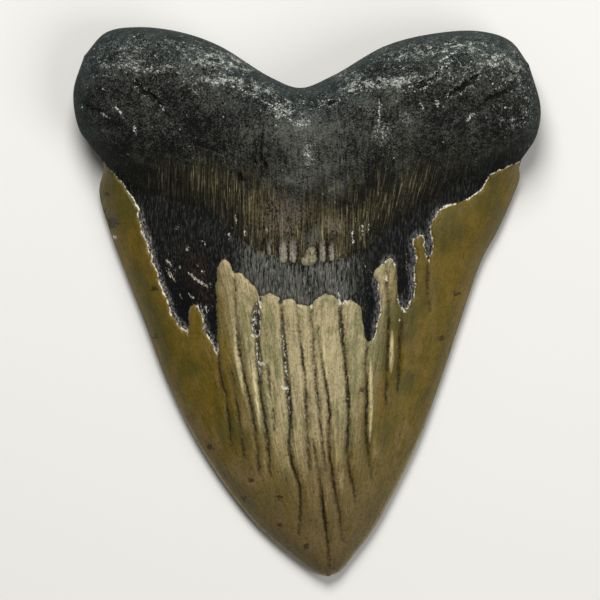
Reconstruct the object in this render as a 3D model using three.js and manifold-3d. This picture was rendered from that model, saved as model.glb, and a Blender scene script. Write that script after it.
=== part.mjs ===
// Fossil megalodon tooth, lying on its flatter outer face with the rounded inner face up.
// Millimetres, +Z up, +Y towards the root and -Y towards the tip.
// The origin is on the surface that the tooth rests on, under the middle of its box.
import * as THREE from "three";
import { ParametricGeometry } from "three/addons/geometries/ParametricGeometry.js";
import { mergeVertices } from "three/addons/utils/BufferGeometryUtils.js";
import Module from "manifold-3d";

const { clamp, lerp, smoothstep } = THREE.MathUtils;
const wasm = await Module();
wasm.setup();

// Driving dimensions, in millimetres
const rootThickness = 29; // at the notch between the lobes
const tipThickness = 4;
const tipRadius = 0.5; // of the very point
const bladeHeight = 2.8; // of the cutting edge above the table
const bladeBluntness = 0.6; // how much thicker the worn cutting edge gets in its first millimetres
const rootEdgeHeight = 10; // of the rim of the root above the table
const rootRounding = 15; // how far in from the rim the root is rounded
const underRounding = 9;
const enamelThickness = 1;
const bandThickness = 0.55;
const crackWidth = 1;
const crackDepth = 0.9;

// How the thickness grows from the tip to the notch, and how full each section is
const lengthPower = 0.72;
const crownFullness = 2.2;
const rootFullness = 2.3;
const underFullness = 4;
const lobeFall = 0.36; // share of the thickness that is lost from the middle to the ends of the lobes

// Where the crown turns into the root, and how far down the crown's flanks are still crown
const crownEndsY = 27;
const rootStartsY = 44;
const flankTopY = 29;
const lobeReach = 61;

// Facets of the body, how closely they crowd towards the outline, and steps along each of its three curves
const facetsAcross = 34;
const facetsAlong = 37;
const crowding = 0.1;
const outlineSteps = 90;
const sameVertex = 1e-4;

// Outline seen from above: over both lobes and the notch, then down each side to the tip
const lobesAndNotch = [
  [-58, 64], [-52.3, 70.1], [-44, 71.5], [-33, 70.2], [-23, 66.7], [-9.4, 58.4], [-1.8, 55.7],
  [6.5, 58.8], [20.3, 66.6], [32.8, 69.8], [45, 70.4], [52.8, 67.9], [57.7, 61.6],
];
const leftSide = [
  [-58, 64], [-60.8, 54.6], [-59.3, 44.9], [-56, 40.2], [-53, 35.6], [-54.2, 29.1], [-51.5, 18.7],
  [-42.6, -4.7], [-36.7, -20.3], [-29.1, -35.9], [-18.7, -51.5], [-12, -59.3], [-2.9, -67.1],
  [2.3, -70.7], [5.5, -71.5],
];
const rightSide = [
  [57.7, 61.6], [60.7, 50.4], [59.5, 42.9], [55.3, 36], [55.4, 32.5], [53.8, 27.8], [49.7, 18.7],
  [45.5, 10.9], [40, -4.7], [34.8, -20.3], [29.1, -35.9], [21.6, -51.5], [17.2, -59.3],
  [11.2, -67.1], [8.6, -70.2], [5.5, -71.5],
];

// Upper edge of the enamel from the left shoulder to the right one: each row is one tongue, and
// neighbouring tongues meet in a sharp notch
const enamelEdge = [
  [[-51.2, 34.6], [-49.4, 32.2], [-46.5, 28.6], [-44.2, 24.7], [-43.8, 21.4], [-41.3, 14],
    [-38.5, 5.5], [-36.1, -1], [-34.1, -5.2], [-30.9, -8.3]],
  [[-30.9, -8.3], [-30.4, -1.6], [-29.4, -0.3], [-27.8, -2.3], [-26.8, -6.8], [-24.4, -11.7], [-23.1, -15.1]],
  [[-23.1, -15.1], [-23.3, 7.8], [-22.4, 10.7], [-21.1, 11.3], [-20, 10.4], [-18.7, 7.5], [-17.2, 7.8],
    [-15.1, 5.5], [-13, 2.9], [-12.2, -1]],
  [[-12.2, -1], [-11.7, 1.6], [-10.1, 2.3], [-8.6, 1.4], [-7, -1]],
  [[-7, -1], [-6, 0.3], [-4.4, 0.9], [-3.1, 0.3], [-2.5, -1.8]],
  [[-2.5, -1.8], [-1.8, -0.4], [-0.5, -0.9], [1, -2.6]],
  [[1, -2.6], [1.8, -0.5], [3.4, 1.3], [4.9, 2], [7.3, 1.3], [8.8, -2]],
  [[8.8, -2], [9.6, -0.5], [11.4, 0.4], [13, -0.5], [14.3, -4.7], [15, -9.4], [15.9, -10.6]],
  [[15.9, -10.6], [17.4, -9.4], [18.3, -4.7], [19.1, -0.3], [18.2, 4.4], [17.4, 7.5], [18.5, 9.1], [20, 10.1],
    [21.3, 11.3], [22.6, 9.4], [23.4, 4.7], [23.9, -0.5], [25.4, -2.2]],
  [[25.4, -2.2], [26.8, -0.3], [28.1, 3.4], [27.8, 9.4], [28.6, 11.7], [27.6, 14.8], [28.6, 17.4], [29.8, 16.9],
    [30.4, 13.5], [31.6, 10]],
  [[31.6, 10], [32.8, 14.3], [32, 18.2], [32.8, 20.8], [35.1, 24.2], [39, 25.5], [42.9, 27.3], [45.5, 29.6],
    [47.3, 32.5], [50.5, 34.4], [53, 35.4]],
];

// Lower edge of the band between root and crown, from the right shoulder back to the left one
const bandEdge = [
  [48, 36.5], [40.3, 32.2], [34.6, 29.1], [29.4, 25.2], [24.7, 21.6], [21.6, 19.5], [18.5, 17.4],
  [14.3, 13.5], [9.9, 11.4], [7.5, 10.9], [6, 10.1], [4.4, 10.1], [2.9, 10.9], [1.6, 9.6], [-0.8, 9.4],
  [-2.1, 10.4], [-3.4, 9.4], [-4.9, 10.9], [-6, 9.6], [-7.3, 11.2], [-9.6, 11.7], [-12.7, 13.3], [-15.9, 15.3],
  [-18.5, 17.2], [-20.5, 20], [-25.2, 22.9], [-30.4, 25.7], [-36.9, 27.3], [-43.4, 29.1], [-48, 33.5],
];

// Cracks that run down the crown from the enamel's edge: share of the full width, then the points
const crownCracks = [
  [0.8, [-23.1, -13], [-22.4, -19.2], [-21.1, -24.7], [-20.3, -30.2], [-19.8, -37.2]],
  [0.6, [-19.5, -17.7], [-18.7, -24.2], [-17.9, -28.6], [-16.9, -35.9], [-16.1, -40.6]],
  [1, [-18.7, 8], [-18.6, 0.5], [-18.3, -7.3], [-16.6, -18.2], [-14.8, -25.5], [-13.3, -34.6], [-12.5, -43.7]],
  [1.1, [-12.5, 0.5], [-13, -4.7], [-12.7, -12.5], [-12, -24.2], [-10.7, -32], [-9.6, -45]],
  [0.6, [-10.1, -16.4], [-9.6, -22.4], [-8.8, -26.8], [-8.3, -33.3]],
  [1.2, [-6.9, 0], [-6.2, -6], [-5.5, -17.7], [-4.4, -26.8], [-4.4, -39.8], [-1.8, -48.9], [-2.1, -60.6]],
  [0.9, [-2.5, -1], [-2.3, -6], [-1, -15.6], [-0.3, -25.5], [0.3, -39.8], [0.8, -43.7]],
  [0.7, [1, -1.8], [1.3, -6], [2.1, -17.7], [3.6, -33.3], [4.7, -43.7]],
  [1, [2.9, -6], [3.6, -13.8], [5.7, -26.8], [5.7, -35.9], [6.5, -45], [8.1, -53.6], [9.4, -61.9]],
  [0.9, [1.6, -35.9], [2.9, -43.7], [3.9, -51.5], [4.9, -59.3], [6, -69]],
  [1.1, [8.7, 0], [8.8, -4.2], [9.6, -12.5], [10.7, -26], [10.7, -41.6], [12.7, -52]],
  [0.9, [15.6, -9.9], [15.3, -16.4], [15.6, -25.5], [15.3, -33.8], [16.9, -46.3]],
  [0.9, [20.5, 9.6], [20.8, 3.1], [21.1, -6], [20.8, -13], [20.5, -26.8]],
  [0.8, [25.2, -1.6], [24.2, -7.3], [23.9, -16.4], [23.4, -23.4]],
  [0.6, [31.4, 10.4], [31.2, 5.7], [32, -2.1]],
];

// Weathering cracks in the root, in the same form
const rootCracks = [
  [1.5, [-41.3, 54.6], [-38.7, 51.7], [-35.1, 47.8], [-31.2, 42.1]],
  [1.3, [-58.5, 45.2], [-55.1, 42.6], [-50.7, 40.6]],
  [1.3, [11.2, 52], [18.5, 54.6], [25.5, 56.7], [30.4, 59.3], [34.6, 62.4]],
  [1.3, [30.4, 52.5], [34.6, 55.1], [38.7, 57.7], [42.4, 61.4]],
  [1.3, [40.3, 49.4], [45, 52.5], [49.4, 54.6], [53.6, 56.7]],
];

// Broad swellings of the root: x, y, how high, and how far they spread
const rootSwellings = [
  [0, 41, 1.8, 17],
  [-42, 57, 1.6, 12],
  [43, 57, 1.6, 12],
  [-24, 47, 0.9, 11],
  [25, 48, 0.9, 11],
  [-52, 46, 0.8, 7],
  [53, 47, 0.8, 7],
  [-10, 30, -0.9, 9],
  [14, 31, -0.9, 9],
];

// Small hollows: x, y, radius and how deep they go
const pits = [
  [-14.6, 35.6, 1.5, 0.9],
  [-12, 36.2, 1.2, 0.8],
  [-17.2, 32.2, 1.1, 0.7],
  [-52.2, 20.8, 2, 1.5],
  [-53.6, 26.4, 1.3, 1],
  [-39.9, 3.2, 1.2, 0.5],
  [38.6, 1.8, 1.3, 0.5],
  [-25.2, -37.6, 1, 0.5],
  [-14.8, -46.2, 1, 0.5],
];

// Line of the enamel's upper edge on the outer face, which lies on the table
const underGroove = [
  0.9, [-52, 33], [-41, 25], [-27, 20], [-12, 20.5], [0, 23.5], [13, 21], [28, 20.5], [42, 26], [52, 33],
];
const underGrooveDepth = 0.5;

const upwards = new THREE.Vector3(0, 0, 1);
const flat = ([x, y]) => new THREE.Vector3(x, y, 0);
const curveThrough = (points) => new THREE.CatmullRomCurve3(points.map(flat), false, "centripetal");
const lobesCurve = curveThrough(lobesAndNotch);
const leftCurve = curveThrough(leftSide);
const rightCurve = curveThrough(rightSide);
const sampledLobes = lobesCurve.getSpacedPoints(outlineSteps);
const sampledLeft = leftCurve.getSpacedPoints(outlineSteps);
const sampledRight = rightCurve.getSpacedPoints(outlineSteps);

// Spreads even steps so that they crowd towards both ends
const crowded = (t) => t - crowding * Math.sin(2 * Math.PI * t);

// A place on the plan: u goes from the left side to the right one, v from the lobes to the tip
function planPoint(u, v) {
  const side = leftCurve.getPointAt(v).lerp(rightCurve.getPointAt(v), u);
  const chord = leftCurve.getPointAt(0).lerp(rightCurve.getPointAt(0), u);
  return lobesCurve.getPointAt(u).sub(chord).multiplyScalar(1 - v).add(side);
}

const segment = new THREE.Line3();
const nearest = new THREE.Vector3();

function distanceToLine(place, samples) {
  const reaches = samples.slice(1).map((point, i) => {
    segment.set(samples[i], point).closestPointToPoint(place, true, nearest);
    return nearest.distanceTo(place);
  });
  return Math.min(...reaches);
}

function distanceToOutline(x, y) {
  const place = new THREE.Vector3(x, y, 0);
  return Math.min(...[sampledLobes, sampledLeft, sampledRight].map((line) => distanceToLine(place, line)));
}

// Where a side of the crown is at a height y
function sideX(samples, y) {
  const next = samples.findIndex((point, i) => i > 0 && point.y <= y && samples[i - 1].y > y);
  if (next < 0) return samples.at(-1).x;
  const [above, below] = [samples[next - 1], samples[next]];
  return THREE.MathUtils.mapLinear(y, below.y, above.y, below.x, above.x);
}

const tipY = Math.min(...sampledLeft.map((point) => point.y));
const notchY = Math.min(...sampledLobes.map((point) => point.y));

// Thickness along the middle line, which goes on growing a little past the notch
function middleThickness(y) {
  const share = clamp((y - tipY) / (notchY - tipY), 0, 1.1);
  return tipThickness + (rootThickness - tipThickness) * share ** lengthPower;
}

// How far across the crown a place is: 0 on its middle line, -1 and 1 on its cutting edges
function acrossCrown(x, y) {
  const level = Math.min(y, flankTopY);
  const left = sideX(sampledLeft, level);
  const right = sideX(sampledRight, level);
  const halfWidth = Math.max((right - left) / 2, tipRadius);
  return clamp((x - (left + right) / 2) / halfWidth, -1, 1);
}

// A rounded shoulder that rises from 0 at the rim to 1 at its full reach
const shoulder = (distance, reach, fullness) =>
  (1 - (1 - Math.min(distance / reach, 1)) ** fullness) ** (1 / fullness);

// A bell that is 1 at no distance and dies away with it
const bell = (distance, width) => Math.exp(-((distance / width) ** 2));
const rootShare = (y) => smoothstep(y, crownEndsY, rootStartsY);
const rimHeight = (y) => lerp(bladeHeight, rootEdgeHeight, rootShare(y));

// The neck under the root's swelling, which follows the band in a shallow arch
const neckY = (x) => 18 + 16 * (Math.abs(x) / 45) ** 1.4;
const neckDepth = 1.3;
const neckWidth = 7;

// Middle of the bare strip between band and enamel, and how far above it the band fades into the root
const bareY = (x) => 5 + 29 * (Math.abs(x) / 50) ** 1.2;
const bareHalfWidth = 1.5;
const bandFadesFrom = 9;
const bandFadesTo = 20;

// The upper, inner face without its enamel
function innerFace(x, y, distance) {
  const across = acrossCrown(x, y);
  const middle = middleThickness(y);
  const blade = bladeHeight + bladeBluntness * shoulder(distance, 3 * bladeBluntness, 2);
  const crown = blade + (middle - blade) * (1 - Math.abs(across) ** crownFullness);
  const swelling = rootSwellings.reduce(
    (sum, [cx, cy, height, reach]) => sum + height * bell(Math.hypot(x - cx, y - cy), reach), 0);
  const plateau = middle * (1 - lobeFall * (x / lobeReach) ** 2) + swelling;
  const root = lerp(rootEdgeHeight, plateau, shoulder(distance, rootRounding, rootFullness));
  const neck = neckDepth * bell(y - neckY(x), neckWidth) * smoothstep(distance, 0, rootRounding);
  return lerp(crown, root, rootShare(y)) - neck;
}

// The lower, outer face, worn flat where it rests on the table
const wornFlat = 0.12;
function outerFace(x, y, distance) {
  const crown = bladeHeight * Math.abs(acrossCrown(x, y)) ** underFullness;
  const root = rootEdgeHeight * (1 - shoulder(distance, underRounding, rootFullness));
  const lift = lerp(crown, root, rootShare(y));
  return Math.max(0, lift - wornFlat * (1 - lift / rimHeight(y)));
}

// Enamel on the crown, the thinner band above it, and neither on the root. It runs out at the rim.
const coatingRunsOut = 4;
function coating(x, y, distance) {
  const above = smoothstep(y - bareY(x), -bareHalfWidth, bareHalfWidth);
  const band = bandThickness * (1 - smoothstep(y - bareY(x), bandFadesFrom, bandFadesTo));
  return lerp(enamelThickness, band, above) * smoothstep(distance, 0, coatingRunsOut);
}

// A solid from any closed geometry, without the facets that have shrunk to a line
function solidFrom(geometry) {
  geometry.deleteAttribute("normal");
  geometry.deleteAttribute("uv");
  const merged = mergeVertices(geometry, sameVertex);
  const corners = [];
  for (let i = 0; i < merged.index.count; i += 3) {
    const [a, b, c] = [0, 1, 2].map((k) => merged.index.getX(i + k));
    if (a !== b && b !== c && c !== a) corners.push(a, b, c);
  }
  const vertProperties = merged.attributes.position.array;
  return new wasm.Manifold(new wasm.Mesh({ numProp: 3, vertProperties, triVerts: new Uint32Array(corners) }));
}

// A closed skin over the plan: the upper sheet goes right to left, the lower one comes back, and they
// meet at the rim
function closedSkin(upperZ, lowerZ) {
  const wrap = (u, v, target) => {
    const isUpper = u <= 0.5;
    const { x, y } = planPoint(crowded(Math.abs(1 - u * 2)), crowded(v));
    const onRim = u === 0 || u === 0.5 || u === 1 || v === 0 || v === 1;
    const faceZ = isUpper ? upperZ : lowerZ;
    target.set(x, y, onRim ? rimHeight(y) : faceZ(x, y, distanceToOutline(x, y)));
  };
  return solidFrom(new ParametricGeometry(wrap, facetsAcross * 2, facetsAlong));
}

const body = () =>
  closedSkin((x, y, distance) => innerFace(x, y, distance) + coating(x, y, distance), outerFace);

// What is missing from the bare strip, down to the root's own surface between the band and the enamel
const wellAbove = 2 * rootThickness;
const wellBelow = -10;
function bareStrip() {
  const shape = new THREE.Shape();
  shape.moveTo(...enamelEdge[0][0]);
  for (const tongue of enamelEdge) {
    shape.splineThru(tongue.slice(1).map(([x, y]) => new THREE.Vector2(x, y)));
  }
  bandEdge.forEach((point) => shape.lineTo(...point));
  const prism = new THREE.ExtrudeGeometry(shape, { depth: wellAbove, bevelEnabled: false, curveSegments: 1 });
  return solidFrom(prism).subtract(closedSkin(innerFace, () => wellBelow));
}

const surfaceAt = (x, y) => {
  const distance = distanceToOutline(x, y);
  return innerFace(x, y, distance) + coating(x, y, distance);
};

// A groove of triangular section that follows a line on a face and runs out to a point at both ends.
// A positive depth goes down into the upper face, and a negative one goes up into the lower face.
const grooveRise = 0.6; // how far its open side stands clear of the face
const grooveTaper = 0.4;
function groove([share, ...points], faceZ, depth) {
  const line = curveThrough(points);
  const rise = grooveRise * Math.sign(depth);
  const sides = depth > 0 ? [1, 0, -1] : [-1, 0, 1];
  const wrap = (u, v, target) => {
    const corner = Math.round(u * 3) % 3;
    const fullness = Math.sin(Math.PI * v) ** grooveTaper;
    const sideways = line.getTangent(v).cross(upwards);
    const { x, y } = line.getPoint(v).addScaledVector(sideways, share * crackWidth * fullness * sides[corner]);
    const fall = corner === 1 ? lerp(rise, -depth * share, fullness) : rise;
    target.set(x, y, faceZ(x, y) + fall);
  };
  return solidFrom(new ParametricGeometry(wrap, 3, points.length * 2));
}

function pit([x, y, radius, depth]) {
  const ball = new THREE.SphereGeometry(radius, 8, 6);
  ball.scale(1, 1, depth / radius);
  ball.translate(x, y, surfaceAt(x, y));
  return solidFrom(ball);
}

function toothGeometry() {
  const cuts = [
    bareStrip(),
    ...crownCracks.map((crack) => groove(crack, surfaceAt, crackDepth)),
    ...rootCracks.map((crack) => groove(crack, surfaceAt, crackDepth)),
    groove(underGroove, () => 0, -underGrooveDepth),
    ...pits.map(pit),
  ];
  const solid = cuts.reduce((left, cut) => left.subtract(cut), body());
  const { vertProperties, triVerts } = solid.getMesh();
  const geometry = new THREE.BufferGeometry();
  geometry.setAttribute("position", new THREE.BufferAttribute(vertProperties, 3));
  geometry.setIndex(new THREE.BufferAttribute(triVerts, 1));
  geometry.computeBoundingBox();
  const middle = geometry.boundingBox.getCenter(new THREE.Vector3());
  geometry.translate(-middle.x, -middle.y, -geometry.boundingBox.min.z);
  geometry.computeVertexNormals();
  return geometry;
}

const fossil = new THREE.MeshStandardMaterial({ color: 0x8a7747, roughness: 0.5, metalness: 0 });
const tooth = new THREE.Mesh(toothGeometry(), fossil);
tooth.name = "tooth";

const group = new THREE.Group();
group.add(tooth);

export default group;
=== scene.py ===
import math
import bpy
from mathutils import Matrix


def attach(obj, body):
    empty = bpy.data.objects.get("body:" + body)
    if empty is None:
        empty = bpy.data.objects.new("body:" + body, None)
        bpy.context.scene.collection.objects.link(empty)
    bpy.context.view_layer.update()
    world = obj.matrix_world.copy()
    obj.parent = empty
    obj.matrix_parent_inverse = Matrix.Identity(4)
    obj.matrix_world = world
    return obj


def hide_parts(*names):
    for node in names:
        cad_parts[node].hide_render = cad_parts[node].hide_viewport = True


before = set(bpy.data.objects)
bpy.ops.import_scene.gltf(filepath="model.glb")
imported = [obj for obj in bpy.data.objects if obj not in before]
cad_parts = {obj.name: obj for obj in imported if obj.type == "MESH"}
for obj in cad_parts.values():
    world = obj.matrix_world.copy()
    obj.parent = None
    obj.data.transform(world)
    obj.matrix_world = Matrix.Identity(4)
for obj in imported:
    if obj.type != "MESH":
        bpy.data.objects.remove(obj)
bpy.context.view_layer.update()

# A fossil tooth lying on its outer face, seen from above. Millimetres until the mesh is made, then metres.
from types import SimpleNamespace
import bpy
import numpy as np

mm = 0.001


# A smooth curve through the points, in even steps along its length
def curveThrough(points, steps, fine=24):
    rows = np.array(points, float)
    rows = np.vstack([2 * rows[0] - rows[1], rows, 2 * rows[-1] - rows[-2]])
    dense = []
    for a, b, c, d in zip(rows[:-3], rows[1:-2], rows[2:-1], rows[3:]):
        ab, bc, cd = (np.linalg.norm(q - p) ** 0.5 for p, q in ((a, b), (b, c), (c, d)))
        leaving = ((b - a) / ab - (c - a) / (ab + bc) + (c - b) / bc) * bc
        arriving = ((c - b) / bc - (d - b) / (bc + cd) + (d - c) / cd) * bc
        t = np.linspace(0, 1, fine, endpoint=False)[:, None]
        dense.append(b + leaving * t + (3 * (c - b) - 2 * leaving - arriving) * t ** 2
                     + (2 * (b - c) + leaving + arriving) * t ** 3)
    dense = np.vstack([*dense, rows[-2:-1]])
    reached = np.concatenate([[0], np.cumsum(np.linalg.norm(np.diff(dense, axis=0), axis=1))])
    at = np.linspace(0, reached[-1], steps)
    return np.column_stack([np.interp(at, reached, dense[:, k]) for k in (0, 1)])


# Distance from each place to the nearest line, less the line's half width there
def nearLines(x, y, lines, reach):
    best = np.full(x.shape, float(reach))
    for points, widths in lines:
        for k in range(len(points) - 1):
            (ax, ay), (bx, by) = points[k], points[k + 1]
            close = np.nonzero((x > min(ax, bx) - reach) & (x < max(ax, bx) + reach)
                               & (y > min(ay, by) - reach) & (y < max(ay, by) + reach))[0]
            if not len(close):
                continue
            dx, dy = bx - ax, by - ay
            t = np.clip(((x[close] - ax) * dx + (y[close] - ay) * dy) / max(dx * dx + dy * dy, 1e-12), 0, 1)
            half = widths[k] + (widths[k + 1] - widths[k]) * t
            away = np.hypot(x[close] - ax - t * dx, y[close] - ay - t * dy) - half
            best[close] = np.minimum(best[close], away)
    return best


def insideOf(x, y, loop):
    inside = np.zeros(x.shape, bool)
    for (ax, ay), (bx, by) in zip(loop, np.roll(loop, -1, axis=0)):
        if ay != by:
            inside ^= ((ay > y) != (by > y)) & (x < (bx - ax) * (y - ay) / (by - ay) + ax)
    return inside


# Strokes as sampled lines that thin out towards both ends
def strokes(rows, scale=1.0, ends=0.4):
    made = []
    for share, *points in rows:
        length = sum(math.dist(a, b) for a, b in zip(points[:-1], points[1:]))
        line = curveThrough(points, max(4, int(length / 0.5)))
        t = np.linspace(0, 1, len(line))
        made.append((line, share * scale * np.sin(np.pi * np.clip(t, 0.01, 0.99)) ** ends))
    return made


def plain(line):
    return [(line, np.zeros(len(line)))]


# A line closed round the far corners over or under it
def closedRound(line, level, far, wide=99):
    return np.vstack([line, [(wide, level), (wide, far), (-wide, far), (-wide, level)]])


# How far each place is from the line, negative outside the loop
def insideBy(x, y, line, loop, reach):
    return nearLines(x, y, plain(line), reach) * np.where(insideOf(x, y, loop), 1, -1)


def smoothStep(value, low, high):
    t = np.clip((value - low) / (high - low), 0, 1)
    return t * t * (3 - 2 * t)


def lerp(a, b, t):
    return a + (b - a) * t


def shoulder(distance, reach, fullness):
    return (1 - (1 - np.minimum(np.maximum(distance, 0) / reach, 1)) ** fullness) ** (1 / fullness)


def bell(distance, width):
    return np.exp(-(distance / width) ** 2)


# What travels along a wire, so that ordinary sums build the maths nodes
class Wire:
    def __init__(self, board, socket):
        self.board, self.socket = board, socket

    def maths(self, kind, *values):
        return self.board.make("ShaderNodeMath", {"operation": kind}, dict(enumerate(values)))

    def __add__(self, other):
        return self.maths("ADD", self, other)

    __radd__ = __add__

    def __mul__(self, other):
        return self.maths("MULTIPLY", self, other)

    __rmul__ = __mul__

    def __sub__(self, other):
        return self.maths("SUBTRACT", self, other)

    def __rsub__(self, other):
        return self.maths("SUBTRACT", other, self)

    def __truediv__(self, other):
        return self.maths("DIVIDE", self, other)

    def __rtruediv__(self, other):
        return self.maths("DIVIDE", other, self)

    def __abs__(self):
        return self.maths("ABSOLUTE", self)

    def atMost(self, other):
        return self.maths("MINIMUM", self, other)

    def atLeast(self, other):
        return self.maths("MAXIMUM", self, other)

    # from 0 at low to 1 at high, in an S
    def rise(self, low, high, start=0.0, end=1.0):
        return self.board.make("ShaderNodeMapRange", {"interpolation_type": "SMOOTHSTEP"}, {
            "Value": self, "From Min": low, "From Max": high, "To Min": start, "To Max": end})

    def fall(self, low, high):
        return self.rise(low, high, 1.0, 0.0)

    def other(self, name):
        return Wire(self.board, self.socket.node.outputs[name])


class Board:
    def __init__(self, tree):
        self.tree = tree
        tree.nodes.clear()

    # one node: its type, its settings, then the values or wires of its sockets
    def make(self, kind, settings=None, values=None, out=0):
        node = self.tree.nodes.new(kind)
        for name, value in (settings or {}).items():
            setattr(node, name, value)
        for key, value in (values or {}).items():
            socket = node.inputs[key] if isinstance(key, int) else next(
                s for s in node.inputs if key == s.identifier or (key == s.name and s.enabled))
            if isinstance(value, Wire):
                self.tree.links.new(value.socket, socket)
            else:
                socket.default_value = value
        return Wire(self, node.outputs[out]) if len(node.outputs) else node

    def vector(self, kind, *values):
        return self.make("ShaderNodeVectorMath", {"operation": kind}, dict(enumerate(values)))

    def field(self, name, out="Fac"):
        return self.make("ShaderNodeAttribute", {"attribute_name": name}, out=out)

    # colours mixed by a share
    def blend(self, share, low, high):
        return self.make("ShaderNodeMix", {"data_type": "RGBA"},
                         {"Factor_Float": share, "A_Color": low, "B_Color": high}, out=2)

    # places in a pattern of a size in millimetres, slid along so that no two patterns agree
    def slid(self, where, sizes, shift):
        steps = (1 / np.broadcast_to(sizes, 3)).tolist()
        return self.vector("MULTIPLY_ADD", where, steps, (shift, shift * 1.7, shift * 0.6))

    # drifting noise
    def cloud(self, where, sizes, detail=2.0, roughness=0.5, shift=0.0):
        return self.make("ShaderNodeTexNoise", {"noise_dimensions": "3D"}, {
            "Vector": self.slid(where, sizes, shift), "Scale": 1.0, "Detail": detail,
            "Roughness": roughness})

    # separate specks of one size; the amount is the share of cells that hold one
    def specks(self, where, size, amount, shift=0.0, fill=0.42):
        cell = self.make("ShaderNodeTexVoronoi", {"feature": "F1"},
                         {"Vector": self.slid(where, size, shift), "Scale": 1.0})
        chance = self.make("ShaderNodeSeparateColor", {}, {"Color": cell.other("Color")})
        reach = chance.other("Green") * 0.25 + fill
        return (amount - chance).rise(0.0, 0.05) * (cell / reach).fall(0.7, 1.15)

    # ragged crumbs that run together where the amount is high
    def crumbs(self, where, size, amount, shift=0.0, soft=0.09, stretch=1.0):
        grit = self.cloud(where, (size, size * stretch, size), 3.0, 0.75, shift)
        return (grit + amount * 0.36 - 0.74).rise(0.0, soft)

    # thin long lines where drifting noise passes its middle
    def threads(self, where, across, along, thin, shift=0.0):
        drift = self.cloud(where, (across, along, 1), 1.5, 0.5, shift)
        return (abs(drift - 0.5) * (1 / thin)).fall(0.0, 1.0)


def colour(code):
    parts = [int(code[k:k + 2], 16) / 255 for k in (0, 2, 4)]
    return (*[p / 12.92 if p < 0.04045 else ((p + 0.055) / 1.055) ** 2.4 for p in parts], 1.0)


def newMaterial(name):
    made = bpy.data.materials.new(name)
    made.use_nodes = True
    return made, Board(made.node_tree)


def intoScene(thing):
    bpy.context.scene.collection.objects.link(thing)
    return thing


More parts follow.
